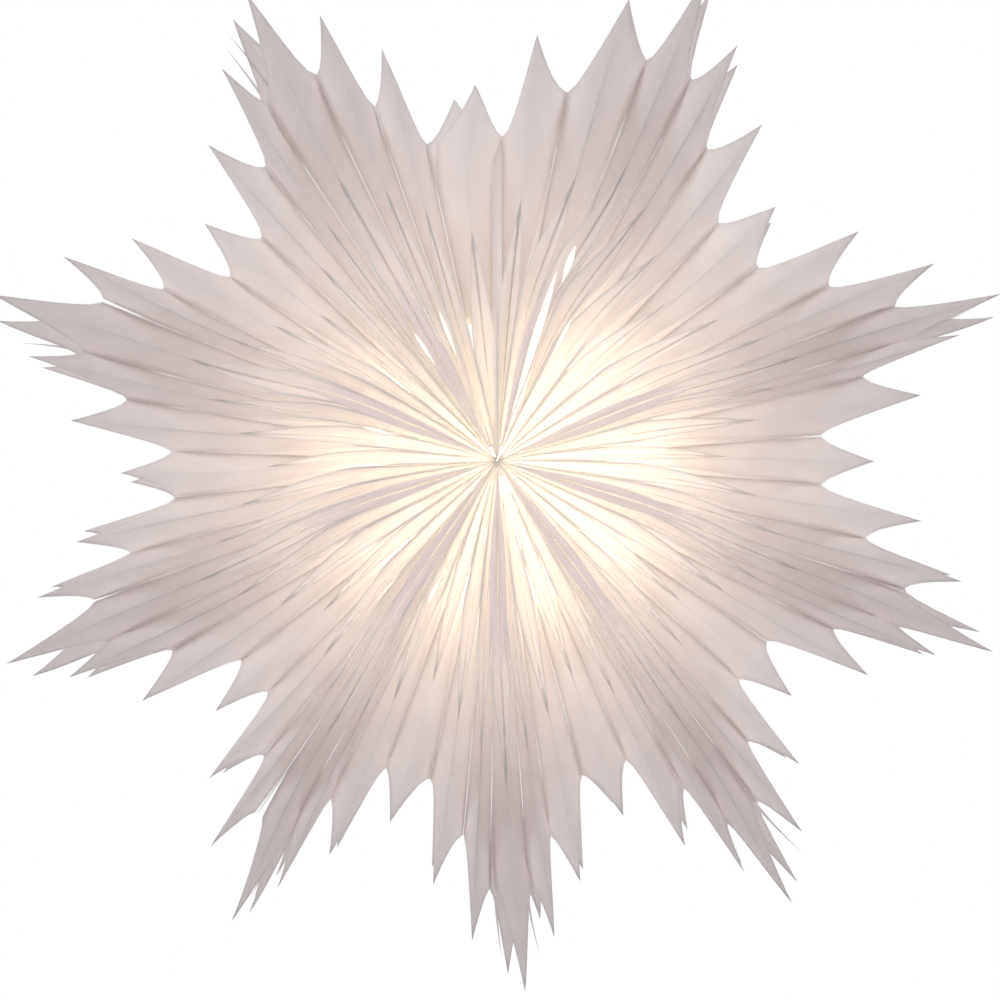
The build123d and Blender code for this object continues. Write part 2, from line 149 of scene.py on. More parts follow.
chance = Random(7)
seams, bags, angle = [], [], CLOSING_ANGLE
for arm, openings in enumerate(OPENINGS, 1):
    for slot, opening in enumerate(openings):
        pinch = {TIP_SLOT: PINCH, TIP_SLOT + 1: -PINCH}.get(slot, 0.0)
        pinch = pinch * (opening + USUAL_OPENING) / (2 * USUAL_OPENING)
        drift = pinch + chance.uniform(-WANDER, WANDER)
        seams.append(Seam(angle, drift, PARTED.get((arm, slot), 0)))
        angle += opening
seams[0].drift = 0
for number, first in enumerate(seams):
    arm, slot = divmod(number, len(RANKS))
    bags.append(Bag(arm + 1, slot, first, seams[(number + 1) % len(seams)]))
print("bags:", len(bags), "full turn:", round(angle - CLOSING_ANGLE, 1))

# %% [markdown]
# ## Bending the fan
# Seen from the front, the inner folds do not point the same way as the arms
# outside, because the paper is gathered tighter on one side. One smooth shift
# of the angle, strongest near the front folds, bends every sheet alike, so
# sheets that touch stay together.

# %% A point of the fan from angle, radius and depth
LEANS = (
    (90, 0), (119.3, 0), (161.6, -4.6), (201.8, -4.3), (238.1, -2.4),
    (271.6, -1.4), (305.1, 1.1), (340.0, 3.5), (379.0, 3.0), (426.2, 8.0), (450, 0),
)
LEAN_FADES = (235 * MM, 90 * MM)
BACK_LEAN = -0.6
DRIFT_CURVE = 1.5


def ease(low, high, value):
    t = min(max((value - low) / (high - low), 0), 1)
    return t * t * (3 - 2 * t)


def lean(angle):
    angle = (angle - CLOSING_ANGLE) % 360 + CLOSING_ANGLE
    for (a, one), (b, two) in zip(LEANS, LEANS[1:]):
        if angle <= b:
            return one + (two - one) * ease(a, b, angle)
    return 0


def point(angle, radius, depth, drift=0.0):
    """depth is from the mid-depth plane: negative in front, positive behind."""
    share = min(abs(depth) / HALF_DEPTH, 1)
    front = 1 if depth < 0 else BACK_LEAN
    angle += front * lean(angle) * ease(*LEAN_FADES, radius) * share
    way = Vector((cos(radians(angle)), 0, sin(radians(angle))))
    across = Vector((-way.z, 0, way.x))
    sideways = across * drift * share**DRIFT_CURVE
    return CENTRE + way * radius + sideways + Vector((0, depth, 0))


print("the fan's top:", [round(value, 3) for value in point(CLOSING_ANGLE, VALLEY_TIP, 0)])

# %% [markdown]
# ## One sheet of paper
# Every panel starts as a flat grid. Its corners are then carried to where the
# fold puts them, as if the sheet were bent by hand. Across a panel the grid is
# finer in the middle, where the tip is. The same positions are kept in a UV
# map, so that the fibres of the paper can follow the sheet. Three attributes run
# from 0 to 1: fold says how deep between two bags a point lies, double where
# the paper lies double, and slit where light comes straight out at a seam.

# %% Lay a grid over a shape
MARKS = ("fold", "double", "slit")


def lay_sheet(bm, grid, shape, crowd=1.0, end_crowd=1.0, valley=0.0, double=0.0, slit=0.0):
    columns, rows = grid
    made = bmesh.ops.create_grid(bm, x_segments=columns, y_segments=rows, size=1)
    uv = bm.loops.layers.uv.verify()
    fold, layers, parted = [bm.verts.layers.float[name] for name in MARKS]
    for vert in made["verts"]:
        across, along = vert.co.x, (vert.co.y + 1) / 2
        across = abs(across) ** crowd * (1 if across > 0 else -1)
        along = 1 - (1 - along) ** end_crowd
        place, at = shape(across, along)
        for loop in vert.link_loops:
            loop[uv].uv = at
        vert[fold], vert[layers], vert[parted] = valley * abs(across), double, slit
        vert.co = place


print("marks on every sheet:", MARKS)

# %% [markdown]
# ## The three panels of a bag
# The fin lies in the seam, flat against the next bag's fin. The gusset folds
# in from the fin's front edge to the middle of the bag and ends in an inner
# point. The leaf folds from the seam to the outer tip. The bags were cut while
# they lay folded flat, so one hollow curve runs through all three edges. At
# the closing seam the fins' lips reach over the boards' edges and cross.

# %% Shapes of the leaf, the gusset and the fin
LEAF_RISE = 40 * MM
LEAF_CURVE, LEAF_CREST = 1.6, 0.7
LEAF_START, LEAF_DIP, LEAN_FROM = 0.97, 0.1, 0.8
GUSSET_DEPTH = 42 * MM
GUSSET_HOLLOW, FIN_HOLLOW = 1.1, 0.85
PLAY_LIMIT = 0.06
LIP = 0.45 * MM
LIP_FROM, LIP_SHARE = 0.984, 0.08
FLARE_CURVE, FLARE_LIMIT = 6, 0.3
WANDER_REACH = 1.02


def leaf_depth(radius, tip):
    return LEAF_RISE * (radius / tip) ** LEAF_CURVE


def belly(across, along):
    """How far a panel bows out, from 0 at its folds and ends to 1."""
    return sin(pi * along) * (1 - abs(across)) * abs(across) * 4


def leaf_shape(bag, side, tip_lean, tip, hollow, bow):
    start = ROOM if bag.rank or bag.first.closing else front_fold_end(bag.rank)

    def shape(across, along):
        seam, edge = (bag.first, bag.notches[0]) if across < 0 else (bag.last, bag.notches[1])
        out = edge + (tip - edge) * (1 - abs(across)) ** hollow
        inner = start * (LEAF_START - LEAF_DIP * (1 - abs(across)))
        radius = inner + (out - inner) * along
        beyond = ease(edge * LEAN_FROM, tip, radius)
        play = degrees((BOARD_ROOM if seam.closing else PLAY) / radius)
        turn = bag.middle + across * (bag.width / 2 - play) + tip_lean * beyond
        depth = bow * belly(across, along) - leaf_depth(radius, tip) * (1 - across**2) ** LEAF_CREST
        return point(turn, radius, side * depth), (across * bag.width * radius, radius)

    return shape


def gusset_shape(bag, side, bow):
    tip, end = inner_tip(bag.rank), front_fold_end(bag.rank)

    def shape(across, along):
        out = end + (tip - end) * (1 - abs(across)) ** GUSSET_HOLLOW
        radius = POLE + (out - POLE) * along
        depth = HALF_DEPTH - GUSSET_DEPTH * (radius / tip) * (1 - abs(across))
        depth += bow * belly(across, along)
        seam, inwards = (bag.first, 1) if across < 0 else (bag.last, -1)
        drift = seam.wander(inwards, radius, end * WANDER_REACH) * abs(across)
        play = min(degrees(PLAY / radius), PLAY_LIMIT * bag.width)
        if seam.closing:
            play = -play
        turn = bag.middle + across * (bag.width / 2 - play)
        return point(turn, radius, -side * depth, drift), (across * bag.width * radius, radius)

    return shape


def fin_shape(bag, side, seam, inwards, edge, flare):
    end = front_fold_end(bag.rank)

    def shape(across, along):
        share = (across + 1) / 2
        inner = POLE + (ROOM - POLE) * share
        out = end + (edge - end) * share**FIN_HOLLOW
        radius = inner + (out - inner) * along
        depth = HALF_DEPTH * (1 - share)
        if seam.closing:
            open_part = (1 - ease(LIP_FROM, 1, along)) * ease(0, LIP_SHARE, share)
            spread = degrees((-LIP + (BOARD_ROOM + LIP) * open_part) / radius)
        else:
            spread = degrees((PLAY + flare * along**FLARE_CURVE * (1 - share)) / radius)
            spread = min(spread, FLARE_LIMIT)
        drift = seam.wander(inwards, radius, end * WANDER_REACH) if radius < end else 0
        place = point(seam.angle + inwards * spread, radius, -side * depth, drift)
        return place, (degrees(depth), radius)

    return shape


low = leaf_depth(ROOM, outer_tip(LONGEST))
print("a longest leaf rises in mm:", round(low / MM, 1), "to", round(LEAF_RISE / MM, 1))

# %% [markdown]
# ## Blades, slits and slivers
# At the front of each arm's longest bag the two folds are pressed flat, which
# makes a pair of narrow blades. They are greyer, because the paper lies double
# there. Beside some blades the seam has parted, and a thin strip laid in the gap
# glows with painted light for the light that comes out. At the ends of some arms
# thin slivers of paper stand off the tips.

# %% Shapes of a blade, a slit and a sliver
BLADE_WIDTH = 5.8 * MM
BLADE_GAP = 0.7 * MM
BLADE_SINK = 0.1 * MM
BLADE_SLOPE = 0.4 * MM
BLADE_BELLY, BLADE_TAPER = 1.35, 1.2
SLIT_BELLY = 1.3
SLIVER_WIDTH = 3.4 * MM
SLIVER_ROOT = 300 * MM
SLIVER_SINK = 3 * MM


def blade_shape(bag, side, inwards):
    end = front_fold_end(bag.rank)

    def shape(across, along):
        share = (across + 1) / 2
        radius = POLE + (end - POLE) * along
        width = BLADE_WIDTH * sin(pi * along**BLADE_BELLY) ** BLADE_TAPER
        drift = -inwards * (BLADE_GAP * min(along * 4, 1) + width * share)
        depth = HALF_DEPTH - BLADE_SINK - BLADE_SLOPE * share * min(radius / end * 2, 1)
        return point(bag.middle, radius, -side * depth, drift), (degrees(width * share), radius)

    return shape


# A thin strip across a parted seam, which glows: painted light for the light coming out there.
def slit_shape(angle, first, last, width):
    def shape(across, along):
        radius = first + (last - first) * along
        turn = angle + degrees(across * width / 2 * sin(pi * along**SLIT_BELLY) / radius)
        spot = CENTRE + Vector((cos(radians(turn)), 0, sin(radians(turn)))) * radius
        return spot - Vector((0, HALF_DEPTH, 0)), (across, radius)

    return shape


def sliver_shape(angle, side, reach, bend):
    def shape(across, along):
        radius = SLIVER_ROOT + (reach - SLIVER_ROOT) * along
        turn = angle + bend * along**2 + degrees(across * SLIVER_WIDTH / 2 / radius) * (1 - along)
        depth = leaf_depth(radius, outer_tip(LONGEST)) - SLIVER_SINK
        return point(turn, radius, -side * depth), (across, radius)

    return shape


print("a blade's length in mm:", round(front_fold_end(LONGEST) / MM))

# %% [markdown]
# ## Folding an arm
# Each arm is one object of six front bags and six back bags. The front and the
# back bag lie behind each other, and their tips never quite agree: that makes
# the double points at the ends of the arms. The tips of the longest bags are
# listed, all others lean by chance from a fixed seed. Slivers are listed by arm
# with their angles. A slit has an angle, the two radii it runs between and its
# width, the last three in millimetres.

# %% Fold the bags of one arm
TIP_LEANS = (
    (-1.1, 1.5), (0.1, 2.6), (0.6, 2.9), (1.9, 3.1), (1.4, -0.4),
    (-1.5, 0.3), (-1.2, 0.4), (-0.7, -2.8), (0.3, -0.7),
)
TOP_VALLEY_LEANS = (-3.0, 0.4)
SLIVERS = {
    1: (121.2, 122.7), 2: (164.9,), 4: (240.1,), 5: (269.6, 273.8), 6: (306.9,), 8: (376.9,),
}
SLITS = {
    1: ((123.1, 82, 112, 2.2), (111.3, 82, 118, 2.6)),
    2: ((166.0, 78, 102, 2.0),),
    4: ((244.0, 96, 116, 2.2),),
    9: ((72.6, 34, 146, 5.6), (62.3, 82, 118, 2.2), (70.0, 138, 168, 4.5)),
}
CHANCE_LEAN = 0.8
BACK_SHORTFALL = 9 * MM
HOLLOWS = (1.55, 1.95)
LEAF_BOWS, GUSSET_BOWS = (1 * MM, 5 * MM), (-2 * MM, 2 * MM)
FLARES = (0, 2.5 * MM)
SLIVER_SHORTFALLS, SLIVER_BENDS = (8 * MM, 24 * MM), (0.4, 1.2)
FRONT, BACK = 1, -1
LEAF_GRID, GUSSET_GRID, FIN_GRID, CLOSING_FIN_GRID = (12, 24), (10, 16), (6, 12), (10, 26)
BLADE_GRID, SLIT_GRID, SLIVER_GRID = (4, 20), (2, 12), (2, 8)


def fold_bag(bm, bag, side):
    luck = Random(bag.arm * 40 + bag.slot * 4 + side)
    tip_lean = luck.uniform(-CHANCE_LEAN, CHANCE_LEAN)
    tip = outer_tip(bag.rank)
    if side == BACK:
        tip -= luck.uniform(0, BACK_SHORTFALL)
    if bag.slot == TIP_SLOT:
        tip_lean = TIP_LEANS[bag.arm - 1][side == BACK]
    if bag.first.closing:
        tip_lean = TOP_VALLEY_LEANS[side == BACK]
    hollow, bow = luck.uniform(*HOLLOWS), luck.uniform(*LEAF_BOWS)
    leaf = leaf_shape(bag, side, tip_lean, tip, hollow, bow)
    lay_sheet(bm, LEAF_GRID, leaf, crowd=1.4, valley=1)
    lay_sheet(bm, GUSSET_GRID, gusset_shape(bag, side, luck.uniform(*GUSSET_BOWS)), crowd=1.2)
    for seam, inwards, edge in zip((bag.first, bag.last), (1, -1), bag.notches):
        shape = fin_shape(bag, side, seam, inwards, edge, luck.uniform(*FLARES))
        if seam.closing:
            lay_sheet(bm, CLOSING_FIN_GRID, shape, end_crowd=3, double=0.4)
        else:
            lay_sheet(bm, FIN_GRID, shape)
        if bag.slot == TIP_SLOT:
            lay_sheet(bm, BLADE_GRID, blade_shape(bag, side, inwards), double=1)


def to_object(bm, name):
    mesh = bpy.data.meshes.new(name)
    bm.to_mesh(mesh)
    bm.free()
    piece = bpy.data.objects.new(name, mesh)
    bpy.context.collection.objects.link(piece)
    return piece


def fold_arm(arm):
    bm = bmesh.new()
    for name in MARKS:
        bm.verts.layers.float.new(name)
    for bag in bags:
        if bag.arm == arm:
            fold_bag(bm, bag, FRONT)
            fold_bag(bm, bag, BACK)
    for angle, first, last, width in SLITS.get(arm, ()):
        lay_sheet(bm, SLIT_GRID, slit_shape(angle, first * MM, last * MM, width * MM), slit=1)
    luck = Random(arm)
    for angle in SLIVERS.get(arm, ()):
        reach = outer_tip(LONGEST) - luck.uniform(*SLIVER_SHORTFALLS)
        lay_sheet(bm, SLIVER_GRID, sliver_shape(angle, BACK, reach, luck.uniform(*SLIVER_BENDS)))
    bmesh.ops.recalc_face_normals(bm, faces=bm.faces)
    for face in bm.faces:
        face.smooth = True
    piece = to_object(bm, f"arm_{arm}_paper")
    skin = piece.modifiers.new("paper thickness", "SOLIDIFY")
    skin.thickness = PAPER
    skin.offset = 0
    nodes = [f"arm_{arm}_{name}_bags" for name in ("valley", "side", "shoulder", "tip")]
    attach(piece, "star")
    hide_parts(*nodes)
    return piece


paper_arms = [fold_arm(arm) for arm in range(1, len(OPENINGS) + 1)]
print("faces in the paper:", sum(len(piece.data.polygons) for piece in paper_arms))

# %% [markdown]
# ## Helpers for finishes
# Every finish starts from a Principled shader. Patterns read Object
# coordinates, which are metres from the cord inlet, so a scale of 1000 makes
# grains one millimetre wide on every piece alike. One helper joins two colours:
# it mixes, multiplies or adds them, all over or as a mask says.

# %% Helpers for node trees
def new_material(name):
    material = bpy.data.materials.new(name)
    material.use_nodes = True
    nodes, links = material.node_tree.nodes, material.node_tree.links
    return material, nodes, links, nodes["Principled BSDF"]


def ramp(nodes, *stops):
    node = nodes.new("ShaderNodeValToRGB")
    elements = node.color_ramp.elements
    while len(elements) < len(stops):
        elements.new(0.5)
    for element, (place, colour) in zip(elements, stops):
        element.position = place
        element.color = (*colour, 1)
    return node


def noise(nodes, scale, detail=3.0):
    node = nodes.new("ShaderNodeTexNoise")
    node.inputs["Scale"].default_value = scale
    node.inputs["Detail"].default_value = detail
    return node


def join(nodes, links, one, other, kind="MIX", mask=None):
    """Joins two colours, each a socket or three numbers."""
    node = nodes.new("ShaderNodeMix")
    node.data_type = "RGBA"
    node.blend_type = kind
    node.inputs["Factor"].default_value = 1
    if mask:
        links.new(mask, node.inputs["Factor"])
    for colour, name in ((one, "A"), (other, "B")):
        if isinstance(colour, tuple):
            node.inputs[name].default_value = (*colour, 1)
        else:
            links.new(colour, node.inputs[name])
    return node.outputs["Result"]


def bump(nodes, links, shader, height, depth, strength=1.0):
    node = nodes.new("ShaderNodeBump")
    node.inputs["Strength"].default_value = strength
    node.inputs["Distance"].default_value = depth
    links.new(height, node.inputs["Height"])
    links.new(node.outputs["Normal"], shader.inputs["Normal"])


print("helpers ready:", [helper.__name__ for helper in (new_material, ramp, noise, join, bump)])

# %% [markdown]
# ## Paper that lets light through
# Lamp paper scatters light both ways: part of what falls on it comes back, and
# part of it goes on through the sheet. A Principled shader gives the first and
# a Translucent shader the second. Light that has been thrown about among many
# sheets is what a lamp like this is made of, and a renderer follows only a few
# bounces of it. A faint glow, strongest over the lamp's room, gives the rest.
# Long soft streaks along the sheet stand for its creases, short ones for fibres.
# The paper's colour is painted greyer towards the tips of the arms: painted
# shade, where they lie far from the bulb.

# %% The paper's material
GLOW = (
    (0.0, (0.082, 0.078, 0.062)), (0.09, (0.145, 0.136, 0.112)), (0.135, (0.172, 0.160, 0.150)),
    (0.18, (0.172, 0.160, 0.158)), (0.21, (0.132, 0.122, 0.124)), (0.255, (0.084, 0.080, 0.082)),
    (0.30, (0.044, 0.040, 0.042)), (0.40, (0.014, 0.010, 0.012)),
)
# Painted light: extra glow in the folds between bags, strongest at the seams, where too few bounces
# of light would leave them dark.
FOLD_GLOW = (
    (0.16, (0, 0, 0)), (0.22, (0.090, 0.083, 0.085)),
    (0.30, (0.120, 0.112, 0.116)), (0.38, (0, 0, 0)),
)
# Painted light: where the paper lies double, the glow is set to this one level.
DOUBLE_GLOW = (0.30, 0.245, 0.235)
DOUBLE_PASSED = (0.86, 0.81, 0.80)
# Painted light: the glow of the strips laid in parted seams.
SLIT_GLOW = (1.3, 1.22, 0.95)
# Painted shade: the paper's colour greys from 0.2 m out to the tips.
PAINTED_SHADE = (
    (0.20, (0.92, 0.90, 0.91)), (0.29, (0.88, 0.855, 0.87)), (0.37, (0.79, 0.755, 0.775)),
)
FIBRE_SHARE = 0.08
RELIEF_DEPTH, RELIEF_STRENGTH = 0.8 * MM, 0.35
SHARE_PASSED = 0.5
# Painted pool of light: extra glow round a spot at the front of the star, 50 mm right of its
# middle.
PAINTED_HOT_SPOT = Vector((50 * MM, -HALF_DEPTH, -88 * MM))
HOT_SPOT_GLOW = ((0.0, (0.10, 0.09, 0.07)), (0.06, (0.075, 0.066, 0.05)), (0.14, (0, 0, 0)))


def by_distance(nodes, links, place, centre, stops):
    away = nodes.new("ShaderNodeVectorMath")
    away.operation = "DISTANCE"
    away.inputs[1].default_value = centre
    links.new(place.outputs["Object"], away.inputs[0])
    colours = ramp(nodes, *stops)
    links.new(away.outputs["Value"], colours.inputs["Fac"])
    return colours.outputs["Color"]


def mark(nodes, name):
    node = nodes.new("ShaderNodeAttribute")
    node.attribute_name = name
    return node.outputs["Fac"]


def paper_colour_and_shade(nodes, links, place, clouds):
    cloudy = ramp(nodes, (0.3, (0.96, 0.96, 0.97)), (0.7, (1, 1, 1)))
    links.new(clouds.outputs["Fac"], cloudy.inputs["Fac"])
    # Painted shade, greyer with distance from the middle of the star.
    painted_shade = by_distance(nodes, links, place, CENTRE, PAINTED_SHADE)
    return join(nodes, links, painted_shade, cloudy.outputs["Color"], "MULTIPLY")


def paper_relief(nodes, links, place):
    stretch = nodes.new("ShaderNodeMapping")
    stretch.inputs["Scale"].default_value = (1, 5, 1)
    links.new(place.outputs["UV"], stretch.inputs["Vector"])
    creases, fibres = noise(nodes, 3, 6), noise(nodes, 900, 2)
    links.new(stretch.outputs["Vector"], creases.inputs["Vector"])
    links.new(place.outputs["Object"], fibres.inputs["Vector"])
    relief = nodes.new("ShaderNodeMath")
    relief.operation = "MULTIPLY_ADD"
    relief.inputs[1].default_value = FIBRE_SHARE
    links.new(fibres.outputs["Fac"], relief.inputs[0])
    links.new(creases.outputs["Fac"], relief.inputs[2])
    return relief.outputs["Value"]


def paper_glow(nodes, links, place):
    glow = by_distance(nodes, links, place, CENTRE, GLOW)
    # A painted pool of light round the hot spot.
    hot_spot_light = by_distance(nodes, links, place, PAINTED_HOT_SPOT, HOT_SPOT_GLOW)
    in_folds = by_distance(nodes, links, place, CENTRE, FOLD_GLOW)
    glow = join(nodes, links, glow, hot_spot_light, "ADD")
    # Painted light lifts the folds between bags.
    glow = join(nodes, links, glow, in_folds, "ADD", mark(nodes, "fold"))
    # Painted light: one fixed glow where the paper lies double.
    glow = join(nodes, links, glow, DOUBLE_GLOW, mask=mark(nodes, "double"))
    return join(nodes, links, glow, SLIT_GLOW, mask=mark(nodes, "slit"))


def lamp_paper():
    material, nodes, links, shader = new_material("lamp_paper")
    place = nodes.new("ShaderNodeTexCoord")
    clouds = noise(nodes, 60, 5)
    links.new(place.outputs["Object"], clouds.inputs["Vector"])
    links.new(paper_colour_and_shade(nodes, links, place, clouds), shader.inputs["Base Color"])
    links.new(paper_glow(nodes, links, place), shader.inputs["Emission Color"])
    relief = paper_relief(nodes, links, place)
    bump(nodes, links, shader, relief, RELIEF_DEPTH, RELIEF_STRENGTH)
    shader.inputs["Emission Strength"].default_value = 1
    shader.inputs["Roughness"].default_value = 0.8
    shader.inputs["Specular IOR Level"].default_value = 0.1

    through = nodes.new("ShaderNodeBsdfTranslucent")
    passed = ramp(nodes, (0.3, (0.96, 0.92, 0.87)), (0.7, (0.98, 0.95, 0.91)))
    links.new(clouds.outputs["Fac"], passed.inputs["Fac"])
    passed = join(nodes, links, passed.outputs["Color"], DOUBLE_PASSED, mask=mark(nodes, "double"))
    links.new(passed, through.inputs["Color"])
    mix = nodes.new("ShaderNodeMixShader")
    mix.inputs["Fac"].default_value = SHARE_PASSED
    links.new(shader.outputs["BSDF"], mix.inputs[1])
    links.new(through.outputs["BSDF"], mix.inputs[2])
    links.new(mix.outputs["Shader"], nodes["Material Output"].inputs["Surface"])
    return material


paper = lamp_paper()
for piece in paper_arms:
    piece.data.materials.append(paper)
print("finished:", paper.name)

# %% [markdown]
# ## Two-tone handling marks
# Moulded plastic, card, metal and ceramic are never one colour: handling and
# dust leave soft patches, and the surface itself has a fine grain. This group
# makes both from two sizes of noise. It gives a colour, a roughness and a
# height, and each finish sets its own colours and grain size.

# %% A node group for patches and grain
def handled_surface():
    group = bpy.data.node_groups.new("handled_surface", "ShaderNodeTree")
    for name, kind in (("Clean", "NodeSocketColor"), ("Marked", "NodeSocketColor"),
                       ("Smoothest", "NodeSocketFloat"), ("Roughest", "NodeSocketFloat"),
                       ("Patch Scale", "NodeSocketFloat"), ("Grain Scale", "NodeSocketFloat")):
        group.interface.new_socket(name, in_out="INPUT", socket_type=kind)
    for name, kind in (("Color", "NodeSocketColor"), ("Roughness", "NodeSocketFloat"),
                       ("Height", "NodeSocketFloat")):
        group.interface.new_socket(name, in_out="OUTPUT", socket_type=kind)
    nodes, links = group.nodes, group.links
    given, result = nodes.new("NodeGroupInput"), nodes.new("NodeGroupOutput")
    place = nodes.new("ShaderNodeTexCoord")
    patches, grain = noise(nodes, 1, 5), noise(nodes, 1, 2)
    for pattern, scale in ((patches, "Patch Scale"), (grain, "Grain Scale")):
        links.new(place.outputs["Object"], pattern.inputs["Vector"])
        links.new(given.outputs[scale], pattern.inputs["Scale"])
    mask = nodes.new("ShaderNodeMapRange")
    mask.inputs["From Min"].default_value = 0.38
    mask.inputs["From Max"].default_value = 0.68
    links.new(patches.outputs["Fac"], mask.inputs["Value"])
    colour = join(nodes, links, given.outputs["Clean"], given.outputs["Marked"],
                  mask=mask.outputs["Result"])
    rough = nodes.new("ShaderNodeMapRange")
    links.new(patches.outputs["Fac"], rough.inputs["Value"])
    links.new(given.outputs["Smoothest"], rough.inputs["To Min"])
    links.new(given.outputs["Roughest"], rough.inputs["To Max"])
    links.new(colour, result.inputs["Color"])
    links.new(rough.outputs["Result"], result.inputs["Roughness"])
    links.new(grain.outputs["Fac"], result.inputs["Height"])
    return group


HANDLED = handled_surface()
sockets = HANDLED.interface.items_tree
print("group outputs:", [item.name for item in sockets if item.in_out == "OUTPUT"])

# %% [markdown]
# ## Finishes of the hard pieces
# One row per finish: the clean colour, the marked colour, the smoothest and
# roughest value, the patch and grain scales, the grain's depth in millimetres
# and how metallic it is. A few finishes then get a pattern of their own.

# %% Plain finishes from the group
FINISHES = {
    "end_board_card": ((0.86, 0.83, 0.77), (0.78, 0.74, 0.67), 0.7, 0.95, 45, 700, 0.06, 0),
    "fastener_nylon": ((0.88, 0.88, 0.86), (0.76, 0.76, 0.73), 0.6, 0.9, 120, 1400, 0.5, 0),
    "holder_plastic": ((0.88, 0.87, 0.84), (0.81, 0.79, 0.74), 0.28, 0.5, 70, 1600, 0.02, 0),
    "screw_steel": ((0.62, 0.62, 0.63), (0.42, 0.40, 0.38), 0.22, 0.5, 300, 2500, 0.02, 1),
    "carrier_ceramic": ((0.84, 0.82, 0.77), (0.73, 0.69, 0.62), 0.55, 0.85, 160, 1800, 0.05, 0),
    "contact_brass": ((0.78, 0.60, 0.30), (0.50, 0.34, 0.16), 0.2, 0.5, 220, 2200, 0.02, 1),
    "insulator_glass": ((0.02, 0.02, 0.03), (0.05, 0.05, 0.06), 0.06, 0.25, 200, 1500, 0.02, 0),
    "cap_aluminium": ((0.80, 0.80, 0.80), (0.60, 0.60, 0.59), 0.25, 0.45, 260, 2400, 0.02, 1),
    "housing_plastic": ((0.90, 0.90, 0.88), (0.84, 0.83, 0.80), 0.2, 0.36, 60, 1500, 0.015, 0),
    "light_board_metal": ((0.88, 0.89, 0.88), (0.78, 0.79, 0.77), 0.35, 0.6, 240, 1800, 0.02, 0),
    "chip_resin": ((0.90, 0.66, 0.18), (0.80, 0.50, 0.10), 0.2, 0.4, 600, 2500, 0.03, 0),
    "circuit_board": ((0.05, 0.24, 0.11), (0.03, 0.15, 0.07), 0.3, 0.55, 300, 2000, 0.02, 0),
}


def finish(slot):
    clean, marked, smoothest, roughest, patch, grain, depth, metallic = FINISHES[slot]
    material, nodes, links, shader = new_material(slot)
    surface = nodes.new("ShaderNodeGroup")
    surface.node_tree = HANDLED
    surface.inputs["Clean"].default_value = (*clean, 1)
    surface.inputs["Marked"].default_value = (*marked, 1)
    surface.inputs["Smoothest"].default_value = smoothest
    surface.inputs["Roughest"].default_value = roughest
    surface.inputs["Patch Scale"].default_value = patch
    surface.inputs["Grain Scale"].default_value = grain
    links.new(surface.outputs["Color"], shader.inputs["Base Color"])
    links.new(surface.outputs["Roughness"], shader.inputs["Roughness"])
    bump(nodes, links, shader, surface.outputs["Height"], depth * MM)
    shader.inputs["Metallic"].default_value = metallic
    return material


materials = {slot: finish(slot) for slot in FINISHES}
print("plain finishes:", len(materials))

# %% [markdown]
# ## Patterns that single finishes need
# Hook and loop tape is a field of tiny bristles. Turned metal has fine rings
# from the lathe, and the circuit board has thin copper tracks under its green
# mask. Each pattern is laid over the colour that the group gives.

# %% Add a pattern to a finish
def overlay(slot, pattern, output, colour, low, high):
    """Paints colour over the finish where the pattern lies between low and high."""
    nodes, links = materials[slot].node_tree.nodes, materials[slot].node_tree.links
    shader = nodes["Principled BSDF"]
    below = shader.inputs["Base Color"].links[0].from_socket
    place = nodes.new("ShaderNodeTexCoord")
    texture = nodes.new(pattern)
    links.new(place.outputs["Object"], texture.inputs["Vector"])
    mask = nodes.new("ShaderNodeMapRange")
    mask.inputs["From Min"].default_value = low
    mask.inputs["From Max"].default_value = high
    links.new(texture.outputs[output], mask.inputs["Value"])
    painted = join(nodes, links, below, colour, mask=mask.outputs["Result"])
    links.new(painted, shader.inputs["Base Color"])
    return texture


bristles = overlay("fastener_nylon", "ShaderNodeTexVoronoi", "Distance", (0.6, 0.6, 0.57), 0.3, 0.7)
bristles.inputs["Scale"].default_value = 1100
for slot, colour in (("cap_aluminium", (0.55, 0.55, 0.55)), ("contact_brass", (0.55, 0.4, 0.2))):
    rings = overlay(slot, "ShaderNodeTexWave", "Fac", colour, 0.5, 1.4)
    rings.bands_direction = "Z"
    rings.inputs["Scale"].default_value = 900
tracks = overlay("circuit_board", "ShaderNodeTexBrick", "Fac", (0.12, 0.38, 0.2), 0.4, 0.6)
tracks.inputs["Scale"].default_value = 400
pads = overlay("light_board_metal", "ShaderNodeTexVoronoi", "Distance", (0.7, 0.62, 0.4), 1.0, 0.9)
pads.inputs["Scale"].default_value = 350
PLAIN_NODES = 4
patterned = [slot for slot, dye in materials.items() if len(dye.node_tree.nodes) > PLAIN_NODES]
print("patterned:", sorted(patterned))

# %% [markdown]
# ## The lit globe
# The globe is opal glass with a lamp inside, so it glows all over. Its glow
# has to light the whole star, which is why its strength is so high: the paper
# takes most of it away again.

# %% The bulb's globe and chips
GLOBE_STRENGTH = 185


def opal_globe():
    material, nodes, links, shader = new_material("opal_globe")
    place = nodes.new("ShaderNodeTexCoord")
    haze = noise(nodes, 40)
    links.new(place.outputs["Object"], haze.inputs["Vector"])
    lit = ramp(nodes, (0.2, (1.0, 0.86, 0.68)), (0.8, (1.0, 0.88, 0.72)))
    links.new(haze.outputs["Fac"], lit.inputs["Fac"])
    links.new(lit.outputs["Color"], shader.inputs["Emission Color"])
    glass = ramp(nodes, (0.2, (0.92, 0.90, 0.86)), (0.8, (0.86, 0.84, 0.80)))
    links.new(haze.outputs["Fac"], glass.inputs["Fac"])
    links.new(glass.outputs["Color"], shader.inputs["Base Color"])
    shader.inputs["Emission Strength"].default_value = GLOBE_STRENGTH
    shader.inputs["Roughness"].default_value = 0.35
    return material


